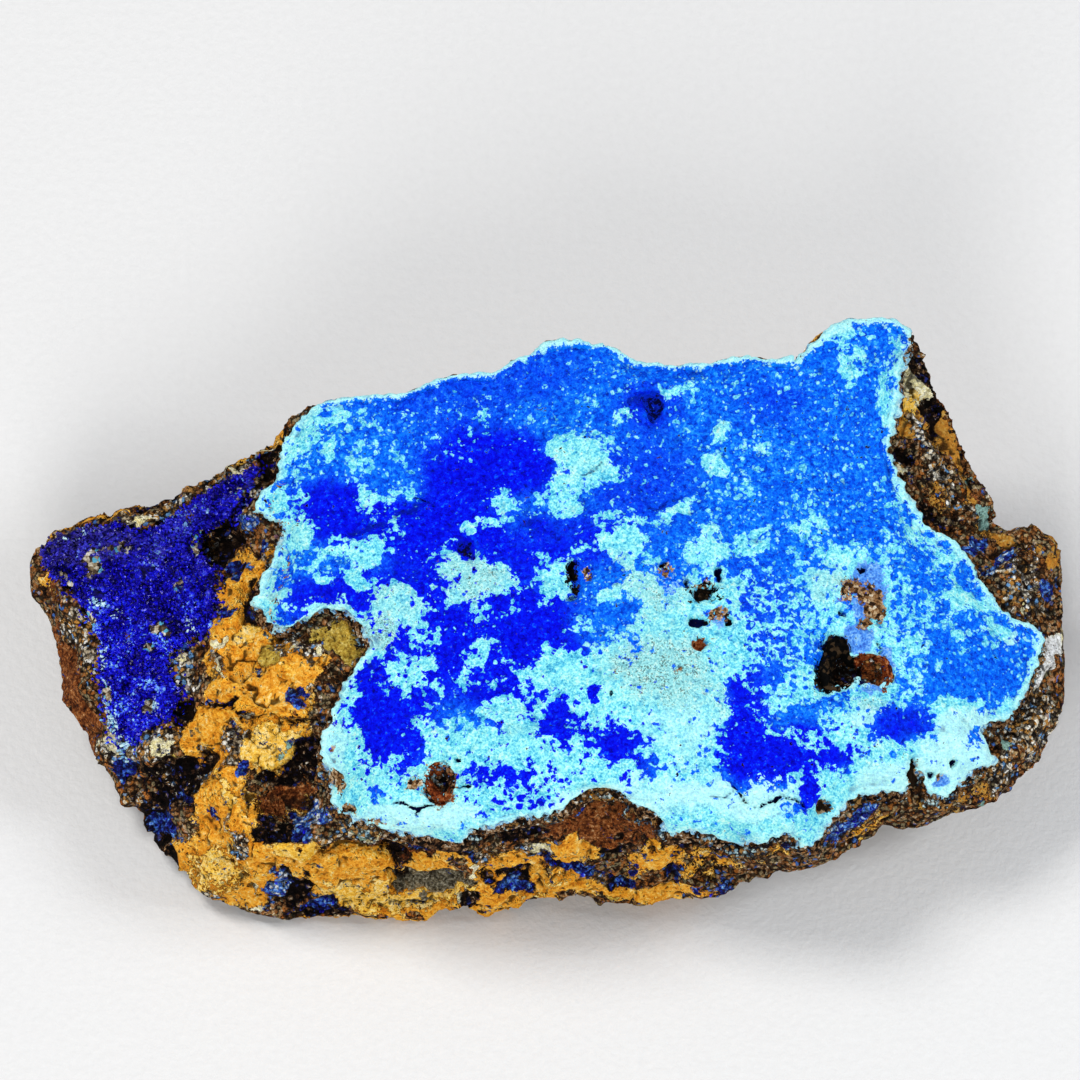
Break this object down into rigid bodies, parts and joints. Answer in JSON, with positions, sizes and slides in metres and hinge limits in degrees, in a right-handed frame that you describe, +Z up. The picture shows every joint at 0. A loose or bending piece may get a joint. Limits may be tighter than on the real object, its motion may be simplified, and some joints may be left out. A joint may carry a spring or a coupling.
{
  "type": "gibbsite specimen",
  "caption": "Hand-size mineral specimen: broken brown limonite with a lumpy crust of blue and pale turquoise gibbsite and a field of dark azurite crystals.",
  "frame": {"origin": "on the surface it rests on, under the middle of its bounding box", "axes": "+X along its length, with the azurite at -X; +Z up, away from the surface; the crusted display face looks up and towards -Y"},
  "size_m": [0.1, 0.0529, 0.0283],
  "materials": {
    "limonite": "rough, earthy",
    "gibbsite": "lumpy, matt to waxy",
    "azurite": "small bright crystal faces"
  },
  "bodies": {
    "root": {"limonite_matrix": "limonite", "gibbsite_crust": "gibbsite", "azurite_druse": "azurite"}
  },
  "joints": []
}
